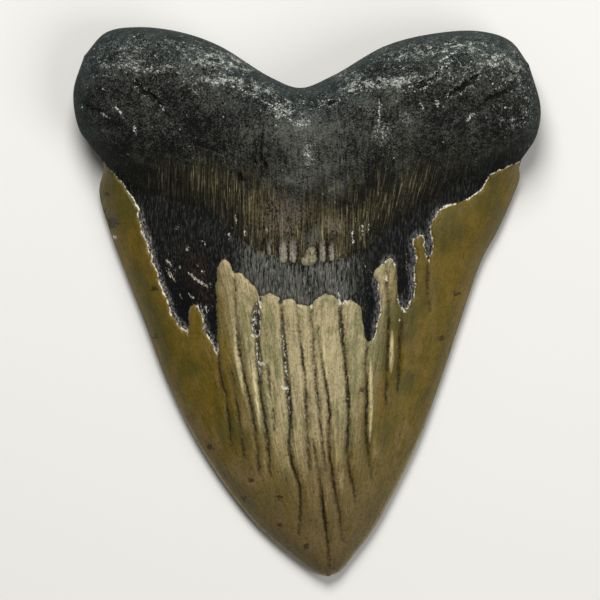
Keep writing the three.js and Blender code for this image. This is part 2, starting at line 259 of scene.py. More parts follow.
# What can be changed on the tooth. Lengths are in millimetres, x runs to the right and y to the root
tooth = {
    "rootThickness": 29, "tipThickness": 4, "tipRadius": 0.5, "bladeHeight": 2.8, "bladeBluntness": 0.6,
    "rootEdgeHeight": 10, "rootRounding": 15, "underRounding": 9, "enamelThickness": 1,
    "bandThickness": 0.55, "lengthPower": 0.72, "crownFullness": 2.2, "rootFullness": 2.3,
    "underFullness": 4, "lobeFall": 0.36, "lobeReach": 61, "crownEndsY": 27, "rootStartsY": 44,
    "flankTopY": 29, "neckDepth": 1.3, "neckWidth": 7, "bandFadesFrom": 9, "bandFadesTo": 20,
    "wornFlat": 0.12, "cellsAcross": 290, "cellsAlong": 262, "underStep": 4, "seed": 7,
    # middle of the neck and of the bare strip: height at the middle, climb, half width and power
    "neckArch": (18, 16, 45, 1.4), "bareArch": (5, 29, 50, 1.2),
    # size of the enamel's flow, and how far from every mark the under side counts
    "flowSize": (100, 143), "underIsFar": 20.0,
    # soft hills: strength, size, seed and how many times longer than wide
    "raggedHills": [(0.32, 1.5, 1, 1), (0.2, 0.7, 2, 1)], "bandTopHills": [(1.4, 5, 3, 1)],
    "lumpHills": [(0.45, 7, 4, 1), (0.28, 3, 5, 1), (0.12, 1.3, 6, 1)],
    "waveHills": [(0.2, 2.4, 7, 9), (0.1, 1.2, 8, 7)], "ridgeHills": [(0.12, 0.9, 9, 10), (0.2, 4, 10, 1)],
    # the outline, as x and y of each point
    "lobesAndNotch": [(-58, 64), (-52.3, 70.1), (-44, 71.5), (-33, 70.2), (-23, 66.7), (-9.4, 58.4),
        (-1.8, 55.7), (6.5, 58.8), (20.3, 66.6), (32.8, 69.8), (45, 70.4), (52.8, 67.9), (57.7, 61.6)],
    "leftSide": [(-58, 64), (-60.8, 54.6), (-59.3, 44.9), (-56, 40.2), (-53, 35.6), (-54.2, 29.1),
        (-51.5, 18.7), (-42.6, -4.7), (-36.7, -20.3), (-29.1, -35.9), (-18.7, -51.5), (-12, -59.3),
        (-2.9, -67.1), (2.3, -70.7), (5.5, -71.5)],
    "rightSide": [(57.7, 61.6), (60.7, 50.4), (59.5, 42.9), (55.3, 36), (55.4, 32.5), (53.8, 27.8),
        (49.7, 18.7), (45.5, 10.9), (40, -4.7), (34.8, -20.3), (29.1, -35.9), (21.6, -51.5), (17.2, -59.3),
        (11.2, -67.1), (8.6, -70.2), (5.5, -71.5)],
    # upper edge of the enamel, a row for each tongue, and a hole in it
    "enamelEdge": [[(-51.2, 34.6), (-49.4, 32.2), (-46.5, 28.6), (-44.2, 24.7), (-43.8, 21.4), (-41.3, 14),
         (-38.5, 5.5), (-36.1, -1), (-34.1, -5.2), (-30.9, -8.3)],
        [(-30.9, -8.3), (-30.4, -1.6), (-29.4, -0.3), (-27.8, -2.3), (-26.8, -6.8), (-24.4, -11.7),
         (-23.1, -15.1)],
        [(-23.1, -15.1), (-23.3, 7.8), (-22.4, 10.7), (-21.1, 11.3), (-20, 10.4), (-18.7, 7.5),
         (-17.2, 7.8), (-15.1, 5.5), (-13, 2.9), (-12.2, -1)],
        [(-12.2, -1), (-12, 0.6), (-11.2, 1.8), (-10, 2.3), (-8.9, 1.9), (-8.2, 1.2), (-7.4, 1),
         (-6.9, -1)],
        [(-6.9, -1), (-6.3, 0.1), (-5.3, 0.7), (-4.2, 0.9), (-3.2, 0.4), (-2.6, -0.5), (-2.4, -1.8)],
        [(-2.4, -1.8), (-2.2, -0.8), (-1.6, -0.5), (-0.6, -0.9), (0.5, -1.6), (1.1, -2.6)],
        [(1.1, -2.6), (1.5, -0.8), (2.3, 0.7), (3.4, 1.6), (4.7, 2), (6.4, 1.9), (7.6, 1.2), (8.3, 0),
         (8.8, -2)],
        [(8.8, -2), (9.2, -0.7), (10.2, 0.2), (11.6, 0.4), (12.8, -0.3), (13.7, -2.2), (14.3, -5),
         (15, -9.4), (15.9, -10.6)],
        [(15.9, -10.6), (17.4, -9.4), (18.3, -4.7), (19.1, -0.3), (18.2, 4.4), (17.4, 7.5), (18.5, 9.1),
         (20, 10.1), (21.3, 11.3), (22.6, 9.4), (23.4, 4.7), (23.9, -0.5), (25.4, -2.2)],
        [(25.4, -2.2), (26.8, -0.3), (28.1, 3.4), (27.8, 9.4), (28.6, 11.7), (27.6, 14.8), (28.6, 17.4),
         (29.8, 16.9), (30.4, 13.5), (31.6, 10)],
        [(31.6, 10), (32.8, 14.3), (32, 18.2), (32.8, 20.8), (35.1, 24.2), (39, 25.5), (42.9, 27.3),
         (45.5, 29.6), (47.3, 32.5), (50.5, 34.4), (53, 35.4), (58, 38.6)]],
    "enamelHole": [(-13.3, -1.4), (-14.4, -4.4), (-13.6, -8.6), (-12.7, -8.9), (-12.2, -5.2), (-12.6, -2)],
    # lower and upper edge of the band, and the enamel's edge on the under side
    "bandEdge": [(-56, 40), (-48, 33.5), (-43.4, 29.1), (-36.9, 27.3), (-30.4, 25.7), (-25.2, 22.9),
        (-20.5, 20), (-18.5, 17.2), (-15.9, 15.3), (-12.7, 13.3), (-9.6, 11.7), (-7.3, 11.2), (-6, 9.6),
        (-4.9, 10.9), (-3.4, 9.4), (-2.1, 10.4), (-0.8, 9.4), (1.6, 9.6), (2.9, 10.9), (4.4, 10.1),
        (6, 10.1), (7.5, 10.9), (9.9, 11.4), (14.3, 13.5), (18.5, 17.4), (21.6, 19.5), (24.7, 21.6),
        (29.4, 25.2), (34.6, 29.1), (40.3, 32.2), (48, 36.5), (58, 41)],
    "bandTop": [(-60, 38), (-43.4, 36.9), (-33, 35.6), (-23.9, 34.8), (-17.4, 32.2), (-11.7, 28.6),
        (-4.4, 26.2), (6, 26.8), (11.2, 29.4), (17.7, 32.2), (24.2, 33.8), (32, 35.6), (42.4, 37.4),
        (60, 42)],
    "underLine": [(-54, 34), (-41, 25), (-27, 20), (-12, 20.5), (0, 23.5), (13, 21), (28, 20.5), (42, 26),
        (54, 34)],
    # x, y, height and reach of each swelling
    "rootSwellings": [(0, 41, 1.8, 17), (-42, 57, 1.6, 12), (43, 57, 1.6, 12), (-24, 47, 0.9, 11),
        (25, 48, 0.9, 11), (-52, 46, 0.8, 7), (53, 47, 0.8, 7), (-10, 30, -0.9, 9), (14, 31, -0.9, 9)],
    # x, y, radius and depth of each pit
    "pits": [(-14.6, 35.6, 1.5, 0.9), (-12, 36.2, 1.2, 0.8), (-17.2, 32.2, 1.1, 0.7), (-52.2, 20.8, 2, 1.5),
        (-53.6, 26.4, 1.3, 1), (-39.9, 3.2, 1.2, 0.5), (38.6, 1.8, 1.3, 0.5), (-25.2, -37.6, 1, 0.5),
        (-14.8, -46.2, 1, 0.5)],
    # cracks: share of the full width, then where they run
    "crownCracks": [(0.8, (-23.1, -13), (-22.4, -19.2), (-21.1, -24.7), (-20.3, -30.2), (-19.8, -37.2)),
        (0.6, (-19.5, -17.7), (-18.7, -24.2), (-17.9, -28.6), (-16.9, -35.9), (-16.1, -40.6)),
        (1, (-18.7, 8), (-18.6, 0.5), (-18.3, -7.3), (-16.6, -18.2), (-14.8, -25.5), (-13.3, -34.6),
         (-12.5, -43.7)),
        (1.1, (-12.5, 0.5), (-13, -4.7), (-12.7, -12.5), (-12, -24.2), (-10.7, -32), (-9.6, -45)),
        (0.6, (-10.1, -16.4), (-9.6, -22.4), (-8.8, -26.8), (-8.3, -33.3)),
        (1.2, (-6.9, 0), (-6.2, -6), (-5.5, -17.7), (-4.4, -26.8), (-4.4, -39.8), (-1.8, -48.9),
         (-2.1, -60.6)),
        (0.9, (-2.5, -1), (-2.3, -6), (-1, -15.6), (-0.3, -25.5), (0.3, -39.8), (0.8, -43.7)),
        (0.7, (1, -1.8), (1.3, -6), (2.1, -17.7), (3.6, -33.3), (4.7, -43.7)),
        (1, (2.9, -6), (3.6, -13.8), (5.7, -26.8), (5.7, -35.9), (6.5, -45), (8.1, -53.6), (9.4, -61.9)),
        (0.9, (1.6, -35.9), (2.9, -43.7), (3.9, -51.5), (4.9, -59.3), (6, -69)),
        (1.1, (8.7, 0), (8.8, -4.2), (9.6, -12.5), (10.7, -26), (10.7, -41.6), (12.7, -52)),
        (0.9, (15.6, -9.9), (15.3, -16.4), (15.6, -25.5), (15.3, -33.8), (16.9, -46.3)),
        (0.9, (20.5, 9.6), (20.8, 3.1), (21.1, -6), (20.8, -13), (20.5, -26.8)),
        (0.8, (25.2, -1.6), (24.2, -7.3), (23.9, -16.4), (23.4, -23.4)),
        (0.6, (31.4, 10.4), (31.2, 5.7), (32, -2.1))],
    "rootCracks": [(1.1, (-45.2, 57.2), (-43.4, 55.6), (-41.1, 53.8), (-39, 52), (-37.2, 49.7),
         (-36, 48.2)), (0.7, (-58.5, 51.5), (-55.9, 50.4), (-52.8, 48.8)),
        (1, (26.8, 54.9), (28.6, 55.9), (32.5, 57.7), (34.3, 60.3)),
        (1.1, (35.9, 52.5), (38.5, 54.6), (40.6, 55.9), (42.9, 57.2), (44.5, 59)),
        (1.1, (44.5, 50.4), (47.1, 52.5), (50.2, 54.1), (53.6, 55.6)), (0.8, (4.7, 51.5), (8.1, 51.7)),
        (0.8, (-14.4, 37.6), (-13.2, 35.8), (-14.2, 33.8)), (0.9, (-12.2, 38.6), (-11.2, 36), (-12, 32.8)),
        (0.8, (-17.9, 33), (-16.6, 32.2), (-17.4, 31.2)),
        (0.6, (-16.4, 37.2), (-17.1, 35.8), (-16.3, 34.4)), (0.35, (-5, 10.6), (-4.9, 16), (-5, 22)),
        (0.3, (-7.4, 11), (-7.3, 17)), (0.3, (-2.4, 10.4), (-2.4, 16)), (0.35, (2.7, 10.3), (2.8, 14.6)),
        (0.3, (5.1, 10.6), (5.2, 17)), (0.3, (-9, 12), (-9, 18.6)), (0.3, (-11.4, 13.5), (-11.4, 20))],
    "crownWidth": 0.22, "crownDepth": 0.7, "rootWidth": 0.7, "rootDepth": 0.7, "valleyDepth": 0.65,
    "valleyReach": 1.7, "crownWander": 0.3, "rootWander": 0.7, "wanderSize": 1.8,
    "crackSeeds": {'crown': 3, 'root': 8},
    # marks: half width, then where they run
    "paleRims": [(0.7, (-50.7, 34.1), (-48.4, 31.5), (-45.8, 27.6), (-43.9, 23.4), (-42.6, 19.2),
         (-41.1, 13.5), (-39.5, 8.1), (-37.4, 2.6), (-35.4, -2.6), (-33.3, -6), (-30.9, -8.1)),
        (0.5, (-28.1, -1.6), (-26.8, -6.8), (-24.7, -11.2), (-23.1, -13.8)),
        (0.6, (-14.6, -0.8), (-14.8, -4.7), (-14, -9.4), (-12.2, -8.8), (-12, -4.2), (-13, -0.5)),
        (0.5, (7.8, 3.6), (8.6, 0.5), (9.4, -2.9)),
        (0.7, (17.9, 5.5), (19.2, 0.5), (18.5, -4.7), (17.9, -9.4)),
        (0.8, (23.9, 0.5), (25.2, -1), (27, 0.3), (28.1, 3.6), (27.6, 9.4), (28.3, 12), (27.6, 15.1),
         (28.6, 17.4)),
        (0.5, (29.9, 16.9), (30.4, 13.5), (31.5, 10.4), (32.8, 14), (32, 18.2), (32.5, 20.8)),
        (0.4, (32.5, 20.8), (34.8, 24.2), (39, 25.5), (42.9, 27.3), (45.8, 29.6), (48.9, 33.3),
         (52.8, 36.1), (57.5, 39.3)), (0.4, (20, 10.1), (21.1, 11.2), (22.1, 9.9))],
    "whiteStreaks": [(0.3, (13.5, 10.9), (15.1, 9.1), (16.6, 7)), (0.3, (20.8, 8.8), (21.1, 5.7)),
        (0.4, (-38.2, 51.7), (-37.4, 50.2), (-36.5, 49)),
        (0.35, (-50.4, 51.2), (-48.6, 49.4), (-47.3, 47.2)),
        (0.35, (-55.4, 50.4), (-53.3, 49), (-51.2, 47.6)), (0.5, (-44.7, 46), (-44.5, 43)),
        (0.45, (41, 46.5), (42.6, 48.3), (43.9, 49.2)), (0.4, (33.8, 61.9), (35.9, 63.4), (39.8, 65.3)),
        (0.45, (31.6, 57.9), (34.6, 60.2), (38.4, 63)), (0.5, (33.3, 52.3), (33.8, 50.2)),
        (0.35, (28.9, 52.5), (30.2, 48.9)), (0.3, (18.5, 52.5), (18.6, 48.5), (18.2, 43.5)),
        (0.4, (48.6, 55), (50.2, 55.9)), (0.4, (-0.8, 38.5), (0.3, 38), (1, 36.9)),
        (0.3, (-29.5, 57.4), (-22, 56.4), (-16, 54.5), (-10.5, 51.5), (-5, 47.5), (-1.5, 45.5))],
    "bandFingers": [(1.2, (-6.3, 17.2), (-6.2, 10.9)), (1.15, (-3.6, 16.8), (-3.7, 10.9)),
        (0.95, (3.9, 16), (3.9, 10.9)), (0.7, (6.3, 15.4), (6.3, 11)), (0.6, (-9.9, 16.4), (-9.8, 12.4))],
    "bandChips": [(1.5, (-0.7, 10.6), (0.4, 10.7), (1.5, 10.8)), (1.5, (0.9, 10.9), (1, 12), (1.2, 13.4))],
    "paleMarks": [(0.5, (-13, -15.5), (-11, -16.3)), (0.55, (-6.7, -21.8), (-5, -22.5)),
        (0.45, (-14.4, -8.5), (-13.4, -9)), (0.4, (-2.6, -0.7), (-1.5, -1.2)),
        (0.3, (1, -0.7), (1.4, -1.7)), (0.35, (-50.6, 17.5), (-49.7, 16.5)), (0.2, (8.2, 2.4), (8.4, -2)),
        (0.2, (9.6, 0.6), (10.4, -0.6)), (0.4, (20.4, 7), (20.6, 5.6)), (0.4, (24.3, -1.7), (25.6, -2.6)),
        (0.2, (23.9, -4.4), (24, -5)), (0.25, (-12.2, 0.4), (-12, -1.6)),
        (0.2, (-20.3, 17.9), (-20.1, 16.3)), (0.16, (-16.4, 19.4), (-16.2, 17)),
        (0.16, (-18.6, 22.4), (-18.4, 20)), (0.14, (11.6, 18.6), (11.8, 14.6)),
        (0.16, (14.2, 20.2), (14.4, 17)), (0.16, (15.8, 20.4), (15.6, 18.2)),
        (0.14, (12.4, 21.8), (12.6, 20)), (0.14, (-10.6, 19.4), (-10.4, 17.6))],
    # crack banks painted as highlights where they face the light
    "litBanks": [(0.75, (-18.9, -4), (-18, -14), (-16.5, -24.5)),
        (0.6, (16.4, -14), (16.5, -25), (16.3, -37)), (0.6, (22, -7), (21.9, -13), (21.7, -19)),
        (0.5, (-9.4, -20.8), (-9, -28)), (0.5, (3.9, -6), (4.6, -16), (6.6, -27)),
        (0.45, (-1.8, -7), (-0.4, -16), (0.3, -26)), (0.6, (-14.4, -14), (-13.3, -24), (-12.1, -34))],
    "splinters": [(0.3, (-36.9, 11.7), (-35.4, 9.6)),
        (0.36, (-37.7, 9.4), (-36.4, 8.3), (-35.6, 6.8), (-34.1, 5.2)),
        (0.4, (-31.2, 8.1), (-29.6, 6.5), (-27.8, 5.2), (-25, 3.6)), (0.3, (-27.8, 8.8), (-26.3, 6.8)),
        (0.25, (-34.1, 19), (-32.8, 20.3)), (0.3, (-31.5, 13), (-30.4, 14.8)),
        (0.2, (-27.8, 16.1), (-26.5, 15.3), (-25.7, 13.5)), (0.35, (-31.2, 2.6), (-28.9, 0.5)),
        (0.25, (-36.3, 13.6), (-36.1, 12.2)), (0.22, (-33.6, 9.8), (-32.8, 8.2)),
        (0.3, (-26.6, -1), (-25.6, -3.2)), (0.26, (-29.2, 10.6), (-28.2, 9.2)),
        (0.3, (-33.6, 2.8), (-32.4, 0.6)), (0.18, (13.6, 11), (15, 9.4), (16.8, 7.4)),
        (0.18, (15.2, 10.6), (16.4, 9.4)), (0.2, (25.6, 14), (25.8, 8))],
    "paleCores": [(0.95, (-13, 0), (-13.6, -4.5), (-13.2, -9)),
        (0.7, (-6.6, -4.4), (-6, -12), (-5.2, -20.5), (-4.6, -26.5), (-4.2, -33)),
        (0.8, (-13.2, -7.3), (-12.8, -12.5), (-12.4, -16.5), (-11.9, -21)),
        (0.4, (8.2, -0.6), (8.6, -6), (9.2, -12)), (0.3, (3.9, -50.5), (4.5, -55), (5, -59.5)),
        (0.45, (10.3, -21), (10.6, -24.5), (10.8, -27.6))],
    # x, y and radius
    "darkSpots": [(-52.3, 28.1, 0.7), (-52.8, 23.9, 0.5), (-51, 20.5, 1.6), (-39.8, 3.4, 0.8),
        (-39.8, -8.8, 0.7), (-37.7, -8.6, 0.5), (-25.2, -37.7, 0.9), (-14.8, -46.3, 0.8), (-16.6, -51, 0.8),
        (-7.5, -50.7, 0.8), (-7.3, -58.2, 0.8), (-0.3, -63.2, 0.7), (14, -23.1, 0.7), (38.4, 1.6, 0.8),
        (39.2, 2.2, 0.6), (35.1, -9.4, 0.8), (9.9, 25.7, 1.3), (16.4, 30.2, 1.3), (-26.8, 40.8, 1),
        (-31, 54.5, 1.2)],
    # x, y, spread across and along (or one spread for both), then how strong it is there
    "grainClouds": [(-24, 62.5, 8, 2.6, 0.85), (-40, 60.3, 6, 2, 0.85), (-50, 61.5, 7, 2.6, 0.6),
        (-45, 66.5, 8, 2.6, 0.5), (-23, 57.2, 7, 1.1, 0.95), (-12.5, 55, 5, 1.6, 0.9),
        (-6.5, 49.5, 3.8, 2.8, 1.2), (-0.8, 46.2, 2.4, 1.6, 1.1), (-17, 60.5, 6, 2.8, 0.5),
        (-31, 66, 8, 2.4, 0.45), (-53, 56, 5, 4, 0.35), (-30, 55, 9, 2.5, 0.35), (17.5, 56.3, 7, 1.5, 1.02),
        (24, 57.2, 5.5, 1.6, 0.8), (11.5, 54.5, 3, 1.6, 0.6), (22, 63.5, 6, 2.4, 0.65), (10, 59, 5, 2, 0.6),
        (31, 65.5, 7, 2.4, 0.5), (41, 66, 7, 2.6, 0.75), (54, 58, 5, 7, 0.65), (57.5, 50, 2.8, 6, 0.6),
        (49, 62, 6, 3.4, 0.6), (19.5, 43.8, 2.2, 3, 1.7), (26, 47, 2.2, 1.5, 1.3),
        (15, 48.5, 2.6, 2.2, 0.45), (20, 38.5, 5, 3.4, 0.4), (0.3, 37.6, 1.7, 3.2, 1.9),
        (3, 51.5, 5, 2.2, 0.5), (40, 59, 5, 2.4, 0.55), (48, 50, 6, 2.4, 0.4), (53, 46.4, 3.4, 2, 1),
        (30, 58, 6, 3, 0.35)],
    "rootTones": [(-28, 44, 13, -0.55), (33, 43, 12, -0.2), (46, 44, 9, -0.3), (0, 39, 10, 1.3),
        (-6, 49, 7, -0.1), (-48, 43, 8, -0.3), (16, 52, 10, 0.1), (53, 50, 6, -0.5), (-22, 61, 9, 0.5),
        (47, 64, 10, 0.35), (-48, 63, 9, 0.25), (6, 48, 8, -0.1), (-45, 35, 7, -0.6), (-38, 31, 6, -0.7),
        (-34, 54, 5, -0.3), (-46, 55, 6, -0.25), (30, 60, 6, -0.15), (13.4, 28.5, 2.6, -1.6),
        (18.6, 31.4, 3.4, -1.6), (24, 32.6, 3, -0.8)],
    "bandTones": [(0.6, 17.4, 2.6, -1.15), (9, 24.6, 2.4, -1.7), (13.4, 27.8, 2.4, -1.8),
        (18.6, 30.8, 3, -1.4), (-30, 30.5, 8, 0.5), (-6, 22.5, 7.5, 0.75), (7, 20, 3.5, 0.6),
        (17, 22, 6, 0.35), (-33, 24, 6, -0.8), (36, 29, 6, -0.5), (-46, 32, 7, -1.6), (24, 26, 5, 0.25),
        (-18, 26, 6, 0.1), (-27, 25, 5, -0.3)],
    "tornClouds": [(-36, 10.5, 1.6, 1.6, 0.9), (-35, 7.6, 1.6, 2.4, 1), (-28.6, 7, 2, 1.6, 0.8),
        (-26, 4.4, 2.2, 1.6, 0.9), (-28.6, 1.5, 2, 1.6, 0.7), (-25.5, -1.5, 1.8, 4, 0.8),
        (-33.5, -2.5, 2, 3.6, 0.7), (-30.5, 11.5, 4, 4, 0.35), (-33.6, 19.4, 1, 1, 0.8),
        (-31, 14.4, 1.4, 1.4, 0.5), (-27, 15, 1.4, 2, 0.5), (-24.4, -9, 1.2, 3, 0.8),
        (15.4, 7.6, 1.2, 3, 0.8), (10.5, 1.6, 3, 1.2, 0.95), (17, -5, 1.2, 4, 0.6), (25.4, 9, 1.4, 4, 0.4)],
    "sageClouds": [(-9.3, -13, 2.6, 9, 0.9), (-15.5, -8, 2.2, 6, 0.6), (12.3, -14, 2.6, 12, 0.8),
        (18.3, -12, 2.6, 9, 0.9), (-4.8, -14, 2, 12, -0.6), (5.2, -12, 3.2, 12, -0.6),
        (-0.6, -14, 1.6, 12, -0.5), (25.6, -6, 3, 6, 1.6), (-20.6, 2, 2, 6, -0.2), (4, -36, 4, 10, -0.4),
        (-8, -34, 3, 8, -0.3), (10, -40, 3, 8, 0.4), (-51.5, 27, 4, 7, 1.6), (45, 26, 5, 4, 0.5),
        (0.6, 16.2, 2, 1.8, 1), (2.4, 18.4, 1.3, 2.4, 0.9)],
    # painted highlights along the ridges between the lower cracks
    "ridgeHighlightClouds": [(-7.4, -36, 1.4, 5, 0.8), (-5.6, -41, 1.1, 3.4, 1.1), (-2.6, -36, 1.3, 6, 0.7),
        (-1.4, -46, 1, 5, 0.6), (2.6, -34, 1.2, 5, 0.7), (7.9, -39, 0.9, 5, 1.2), (9, -47, 0.8, 4, 0.8),
        (5, -51, 0.8, 5, 0.7), (-16.4, -31, 1.2, 4, 0.6), (13.4, -32, 1, 6, 0.6), (17.4, -38, 1.2, 4, 0.7),
        (-11, -42, 1, 4, 0.6), (2.3, -52, 0.7, 4, 0.5)],
    "redClouds": [(-28.5, 8.5, 3.4, 4.5, 1), (-26, 1, 2.6, 4, 0.8), (-33, 13, 3, 3, 0.4),
        (-13.4, -4.5, 1.2, 3.4, 1)],
    # colours as they look in daylight, with some painted highlights and sheens among them, then how strong
    # each effect is
    "rootDark": "060706", "rootGrey": "53544d", "rootTealAndSheen": "434c49", "rootRimSheen": "222e2d",
    "rootBrown": "221e13", "grain": "bfc1b8", "bandDark": "0d0c06", "bandOlive": "484229",
    "bandMiddle": "5b5244", "bandPale": "8d8565", "bandFinger": "8d8779", "bandChip": "8a8268",
    "bandGold": "3a361c", "dentineDark": "060707", "dentineGrey": "4d4d46", "dentineRed": "33241a",
    "dentineStreak": "85857c", "enamelGold": "5a4c12", "enamelBeige": "a39570", "enamelSage": "77734d",
    "enamelOchre": "66521a", "enamelTan": "6b5b3d", "enamelBrown": "2f240f", "enamelOlive": "443f15",
    "enamelRimSheen": "746b4c", "chipped": "cdc8b3", "ledge": "6c6a6a", "crack": "0c0a06", "paleGrainAndHighlight": "d6c998",
    "litRidge": "bba670", "spot": "231907", "grainSize": 0.52, "rootSheen": 0.1, "enamelSheen": 0.16,
    "enamelGloss": 0.38, "stoneGloss": 0.7, "fineBump": 0.6, "bumpDepth": 0.3,
}


# Soft random hills from -1 to 1, with a hill every so many millimetres
def hills(x, y, size, seed, stretch):
    rng = np.random.default_rng(tooth["seed"] * 100 + seed)
    lattice = rng.uniform(-1, 1, (512, 512))
    gx, gy = x / size + 200, y / (size * stretch) + 200
    ix, iy = np.floor(gx).astype(int), np.floor(gy).astype(int)
    fx, fy = (smoothStep(g - i, 0, 1) for g, i in ((gx, ix), (gy, iy)))
    pick = lambda i, j: lattice[i % 512, j % 512]
    return lerp(*(lerp(pick(ix, j), pick(ix + 1, j), fx) for j in (iy, iy + 1)), fy)


def hillsOf(x, y, name):
    return sum(strength * hills(x, y, size, seed, stretch) for strength, size, seed, stretch in tooth[name])


lobesLine, leftLine, rightLine = (
    curveThrough(tooth[name], 400) for name in ("lobesAndNotch", "leftSide", "rightSide"))
tipY, notchY = leftLine[:, 1].min(), lobesLine[:, 1].min()


def alongLine(line, t):
    return np.column_stack([np.interp(t, np.linspace(0, 1, len(line)), line[:, k]) for k in (0, 1)])


# A place on the plan: u from the left side to the right one, v from the lobes to the tip
def planPoints(u, v):
    left, right, lobes = alongLine(leftLine, v), alongLine(rightLine, v), alongLine(lobesLine, u)
    u, v = u[:, None], v[:, None]
    return lerp(left, right, u) + (1 - v) * (lobes - lerp(leftLine[:1], rightLine[:1], u))


def rootShare(y):
    return smoothStep(y, tooth["crownEndsY"], tooth["rootStartsY"])


def rimHeight(y):
    return lerp(tooth["bladeHeight"], tooth["rootEdgeHeight"], rootShare(y))


# From -1 at the crown's left side to 1 at its right one
def acrossCrown(x, y):
    level = np.minimum(y, tooth["flankTopY"])
    left, right = (np.interp(level, line[::-1, 1], line[::-1, 0]) for line in (leftLine, rightLine))
    return np.clip((x - (left + right) / 2) / np.maximum((right - left) / 2, tooth["tipRadius"]), -1, 1)


def middleThickness(y):
    share = np.clip((y - tipY) / (notchY - tipY), 0, 1.1)
    return lerp(tooth["tipThickness"], tooth["rootThickness"], share ** tooth["lengthPower"])


# Height on the plan of a curve that climbs from the middle towards both sides
def archY(x, name):
    low, climb, half, power = tooth[name]
    return low + climb * (np.abs(x) / half) ** power


def innerFace(x, y, away):
    middle = middleThickness(y)
    bluntness, rounding = tooth["bladeBluntness"], tooth["rootRounding"]
    blade = tooth["bladeHeight"] + bluntness * shoulder(away, 3 * bluntness, 2)
    crown = blade + (middle - blade) * (1 - np.abs(acrossCrown(x, y)) ** tooth["crownFullness"])
    swelling = sum(h * bell(np.hypot(x - cx, y - cy), reach) for cx, cy, h, reach in tooth["rootSwellings"])
    plateau = middle * (1 - tooth["lobeFall"] * (x / tooth["lobeReach"]) ** 2) + swelling
    root = lerp(tooth["rootEdgeHeight"], plateau, shoulder(away, rounding, tooth["rootFullness"]))
    neck = bell(y - archY(x, "neckArch"), tooth["neckWidth"]) * smoothStep(away, 0, rounding)
    neck = tooth["neckDepth"] * neck
    return lerp(crown, root, rootShare(y)) - neck


def outerFace(x, y, away):
    crown = tooth["bladeHeight"] * np.abs(acrossCrown(x, y)) ** tooth["underFullness"]
    root = tooth["rootEdgeHeight"] * (1 - shoulder(away, tooth["underRounding"], tooth["rootFullness"]))
    lift = lerp(crown, root, rootShare(y))
    return np.maximum(0, lift - tooth["wornFlat"] * (1 - lift / rimHeight(y)))


# Even steps with a few much closer ones at both ends, where the skin turns over the rim
def stepsWithRim(cells):
    ends = np.array([0, 0.0006, 0.0018, 0.0036, 0.006])
    return np.concatenate([ends, np.linspace(0.009, 0.991, cells - 9), 1 - ends[::-1]])


# Places, facets, which places are on the rim or under it, and each place's u and v
def skin():
    columns, rows = stepsWithRim(tooth["cellsAcross"]), stepsWithRim(tooth["cellsAlong"])
    nu, nv = len(columns), len(rows) - 1
    u, v = np.append(np.tile(columns, nv), 0.5), np.append(np.repeat(rows[:-1], nu), 1.0)
    place = planPoints(u, v)
    tip = nu * nv
    faces = [(i * nu + j, (i + 1) * nu + j, (i + 1) * nu + j + 1, i * nu + j + 1)
             for i in range(nv - 1) for j in range(nu - 1)]
    faces += [((nv - 1) * nu + j, tip, (nv - 1) * nu + j + 1) for j in range(nu - 1)]
    onRim = (np.isin(u, (0, 1))) | (v == 0) | (v == 1)

    # the under side is coarser and shares the rim
    us, vs = (sorted({0, 2, 4, *range(4 + tooth["underStep"], count - 5, tooth["underStep"]),
                      count - 5, count - 3, count - 1}) for count in (nu, nv + 1))
    number, extra = {}, []
    for i in vs:
        for j in us:
            if i == nv:
                number[i, j] = tip
            elif i == 0 or j in (0, nu - 1):
                number[i, j] = i * nu + j
            else:
                number[i, j] = tip + 1 + len(extra)
                extra.append(i * nu + j)
    for i0, i1 in zip(vs[:-1], vs[1:]):
        for j0, j1 in zip(us[:-1], us[1:]):
            loop = list(range(j0, j1)) if i0 == 0 else [number[i0, j0]]
            loop += [i * nu + nu - 1 for i in range(i0, min(i1, nv))] if j1 == nu - 1 else [number[i0, j1]]
            loop += [number[i1, j1], number[i1, j0]]
            if j0 == 0:
                loop += [i * nu for i in range(min(i1, nv) - 1, i0, -1)]
            loop = [p for k, p in enumerate(loop) if p != loop[k - 1]]
            if len(loop) > 2:
                faces.append(tuple(loop))
    isUnder = np.concatenate([np.zeros(len(place), bool), np.ones(len(extra), bool)])
    pick = np.concatenate([np.arange(len(place)), np.array(extra)])
    return place[pick], faces, onRim[pick], isUnder, np.column_stack([u, v])[pick]


# How far each place is inside the enamel, inside the band and above the band's top, and from smaller edges
def layerEdges(x, y, isUnder):
    ragged = hillsOf(x, y, "raggedHills")
    tongues = [curveThrough(row, len(row) * 7)[min(k, 1):] for k, row in enumerate(tooth["enamelEdge"])]
    tongues = np.vstack([[(-56, 38.4)], *tongues])
    belowEdge = insideBy(x, y, tongues, closedRound(tongues, 38, -99), 12)
    hole = curveThrough([*tooth["enamelHole"], tooth["enamelHole"][0]], 40)
    inEnamel = np.minimum(belowEdge + ragged, -insideBy(x, y, hole, hole, 8))
    fringe, under = curveThrough(tooth["bandEdge"], 260), curveThrough(tooth["underLine"], 120)
    inBand = insideBy(x, y, fringe, closedRound(fringe, 41, 99), 12) + 1.3 * ragged
    fingers, chips = (nearLines(x, y, strokes(tooth[key], ends=0.1), 6)
                      for key in ("bandFingers", "bandChips"))
    inBand = np.maximum(inBand, -np.minimum(fingers, chips) - 0.2)
    inBand = np.minimum(inBand, np.where(belowEdge > 0, -inEnamel, 99))
    overBand = y - np.interp(x, *np.array(tooth["bandTop"]).T) + hillsOf(x, y, "bandTopHills")
    fromUnder = -insideBy(x, y, under, closedRound(under, 34, 99), 12)
    return SimpleNamespace(
        inEnamel=np.where(isUnder, fromUnder, inEnamel), inBand=np.where(isUnder, -fromUnder, inBand),
        overBand=np.where(isUnder, 30, overBand), fromUnder=fromUnder, fingers=fingers, chips=chips)


